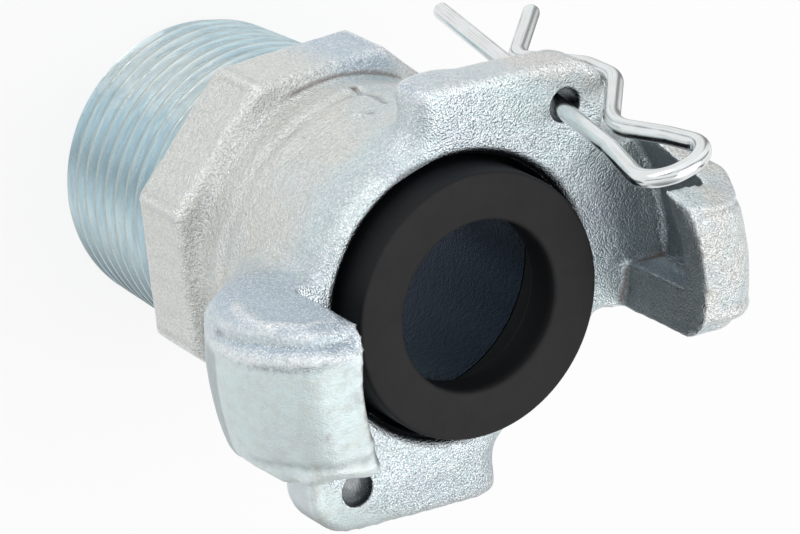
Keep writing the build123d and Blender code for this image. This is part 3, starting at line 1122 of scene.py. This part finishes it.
class COUPLING_OT_casting(Builder, bpy.types.Operator):
    """Add the cast head with its octagon, ears and claws"""

    bl_idname = "coupling.casting"
    bl_label = "Casting"

    def build(self, scene):
        sizes = scene.coupling_casting
        mesh = filled_casting(sizes)
        cast_skin(mesh, sizes)
        mesh = machined(mesh, sizes)
        mark_casting(mesh)
        piece("casting", mesh, 42, cast_zinc(scene.coupling_finishes), "coupling_body")


class COUPLING_OT_washer(Builder, bpy.types.Operator):
    """Add the rubber washer"""

    bl_idname = "coupling.washer"
    bl_label = "Washer"

    def build(self, scene):
        sizes = scene.coupling_washer
        hole, radius, stand_out = in_millimetres(sizes, "bore_radius", "radius", "stand_out")
        wall, lip, edge = in_millimetres(sizes, "wall", "lip", "edge")
        foot, foot_height = in_millimetres(sizes, "foot_radius", "foot_height")
        front = FACE + stand_out
        floor = FACE - scene.coupling_casting.recess_depth / MM
        chamber = radius - wall
        corners = [
            (chamber, front - lip),
            (chamber, floor),
            (foot, floor),
            (foot, floor + foot_height),
            (radius, floor + foot_height + foot - radius),
            (radius, front),
            (hole, front),
            (hole, front - lip),
            (chamber, front - lip),
        ]
        radii = [0.3, 0.3, 0.4, 0.4, edge, edge, 0.3]
        profile = rounded_path(corners, radii, 6)
        mesh = grid_mesh("washer", turned(profile, 200))
        piece("washer", mesh, 50, moulded_rubber(scene.coupling_finishes), "sealing_washer")


class COUPLING_OT_clip(Builder, bpy.types.Operator):
    """Add the safety clip of bent spring wire"""

    bl_idname = "coupling.clip"
    bl_label = "Safety clip"

    def build(self, scene):
        sizes = scene.coupling_clip
        points = [
            (5.33, -31.4),
            (-2.76, 11.8),
            (-5.7, 22.3),
            (3.1, 22.75),
            (1.9, 15.5),
            (-0.1, 8.1),
            (6.3, 0.1),
            (6.35, -5.1),
            (3.2, -13.8),
            (10.4, -21.1),
        ]
        radii = [4.0, 3.3, 3.3, 6.0, 5.0, 4.0, 5.0, 2.0]
        path = evenly(rounded_path(points, radii), 0.3)
        places, flow = wire_places(path, sizes.wire_radius / MM)
        turn = Euler((0, 0, sizes.turn)).to_matrix()
        hole = lock_holes(scene.coupling_casting.hole_distance)[0]
        places = places @ np.array(turn).T + np.array([*hole, FACE])
        mesh = grid_mesh("clip", places * MM, flow)
        piece("clip", mesh, 60, bright_wire(scene.coupling_finishes), "safety_clip")


def soft_lamp(name, place, size, power):
    """A square soft lamp at a place, with its -Z axis towards the middle of the coupling."""
    data = bpy.data.lights.new(name, "AREA")
    data.shape = "RECTANGLE"
    data.size = data.size_y = size
    data.energy = power
    lamp = loose_object(name, data)
    lamp.location = place
    x, y, z = np.array(MIDDLE) - place
    lamp.rotation_euler = (np.arctan2(np.hypot(x, y), -z), 0, np.arctan2(x, -y) + pi)


def room(strength):
    """A pale room with two dark bands for the metal to reflect, white to the camera."""
    room = Finish(bpy.data.worlds.new("room"))
    inputs = {0: room.coordinates["Generated"], 1: (0.35, 0.90, -0.28)}
    axis = room.add("VectorMath", inputs, operation="DOT_PRODUCT")
    height = Level(room, axis.outputs["Value"])
    upper = height.between(0.30, 0.34, 0.44, 0.48)
    lower = height.between(-0.42, -0.38, -0.27, -0.23)
    pale = 0.34 + height.rise(-1.0, -0.7) * (strength - 0.34) + height.rise(0.1, 0.9) * 0.12
    level = pale * (1 - upper * 0.85) * (1 - lower * 0.8)
    camera = Level(room, room.add("LightPath").outputs["Is Camera Ray"])
    level = camera + (1 - camera) * level
    back = room.add("Background", {"Color": (1, 1, 1, 1), "Strength": level})
    room.add("OutputWorld", {"Surface": back.outputs[0]})
    bpy.context.scene.world = room.owner


def floor_finish():
    """White paper with a light shadow. Metal sees it darker on the far side of the coupling."""
    finish = Finish(bpy.data.materials.new("white_paper"))
    seen = finish.add("LightPath")
    camera = Level(finish, seen.outputs["Is Camera Ray"])
    glossy = Level(finish, seen.outputs["Is Glossy Ray"])
    sheet = finish.add("BsdfDiffuse", {"Color": (0.86, 0.86, 0.86, 1)})
    beyond = (finish.x * 0.72 - finish.y * 0.69).between(12, 60, 75, 115)
    strength = camera + glossy * (0.92 - beyond * 0.72)
    glow = finish.add("Emission", {"Color": (1, 1, 1, 1), "Strength": strength})
    share = (camera * 0.85 + glossy * 0.9).limited()
    inputs = {0: share, 1: sheet.outputs[0], 2: glow.outputs[0]}
    mix = finish.add("MixShader", inputs)
    finish.add("OutputMaterial", {"Surface": mix.outputs[0]})
    return finish.owner


def floor_mesh():
    """A flat square sheet under the coupling."""
    mesh = bpy.data.meshes.new("floor")
    reach = FLOOR_REACH
    corners = [(-reach, -reach, 0), (reach, -reach, 0), (reach, reach, 0), (-reach, reach, 0)]
    mesh.from_pydata(corners, [], [(0, 1, 2, 3)])
    mesh.update()
    return mesh


class COUPLING_OT_stage(Builder, bpy.types.Operator):
    """Add the camera, the lamps, the room and the floor"""

    bl_idname = "coupling.stage"
    bl_label = "Stage"

    def build(self, scene):
        stage = scene.coupling_stage
        data = bpy.data.cameras.new("camera")
        data.lens = stage.lens
        data.sensor_width = 36
        data.clip_start, data.clip_end = 0.01, 20
        camera = loose_object("camera", data)
        camera.location = stage.camera_place
        camera.rotation_euler = stage.camera_turn
        scene.camera = camera
        turn = np.array(Euler(stage.camera_turn).to_matrix())
        soft_lamp("key_lamp", MIDDLE + turn @ np.array(KEY_PLACE), 0.6, stage.key)
        soft_lamp("side_lamp", np.array(MIDDLE) + SIDE_PLACE, 0.7, stage.side)
        floor = loose_object("floor", floor_mesh())
        floor.data.materials.append(floor_finish())
        room(stage.sky)
        scene.view_settings.view_transform = "Standard"


class COUPLING_PT_panel(bpy.types.Panel):
    """Sizes, colours and the buttons that build the coupling"""

    bl_idname = "COUPLING_PT_panel"
    bl_label = "Claw hose coupling"
    bl_space_type = "VIEW_3D"
    bl_region_type = "UI"
    bl_category = "Coupling"

    def draw(self, context):
        layout = self.layout
        for name, group in GROUPS.items():
            box = layout.box()
            box.label(text=name.title())
            settings = getattr(context.scene, "coupling_" + name)
            for key in group.__annotations__:
                box.prop(settings, key)
        for operator in OPERATORS:
            layout.operator(operator.bl_idname)


GROUPS = {
    "thread": ThreadSizes,
    "casting": CastingSizes,
    "washer": WasherSizes,
    "clip": ClipSizes,
    "finishes": Finishes,
    "stage": StageSettings,
}
OPERATORS = (
    COUPLING_OT_thread,
    COUPLING_OT_casting,
    COUPLING_OT_washer,
    COUPLING_OT_clip,
    COUPLING_OT_stage,
)


def register():
    for group in GROUPS.values():
        bpy.utils.register_class(group)
    for name, group in GROUPS.items():
        setattr(bpy.types.Scene, "coupling_" + name, PointerProperty(type=group))
    for operator in OPERATORS:
        bpy.utils.register_class(operator)
    bpy.utils.register_class(COUPLING_PT_panel)


def unregister():
    bpy.utils.unregister_class(COUPLING_PT_panel)
    for operator in reversed(OPERATORS):
        bpy.utils.unregister_class(operator)
    for name, group in reversed(GROUPS.items()):
        delattr(bpy.types.Scene, "coupling_" + name)
        bpy.utils.unregister_class(group)


def main():
    register()
    bpy.ops.coupling.thread()
    bpy.ops.coupling.casting()
    bpy.ops.coupling.washer()
    bpy.ops.coupling.clip()
    bpy.ops.coupling.stage()


if __name__ == "__main__":
    main()
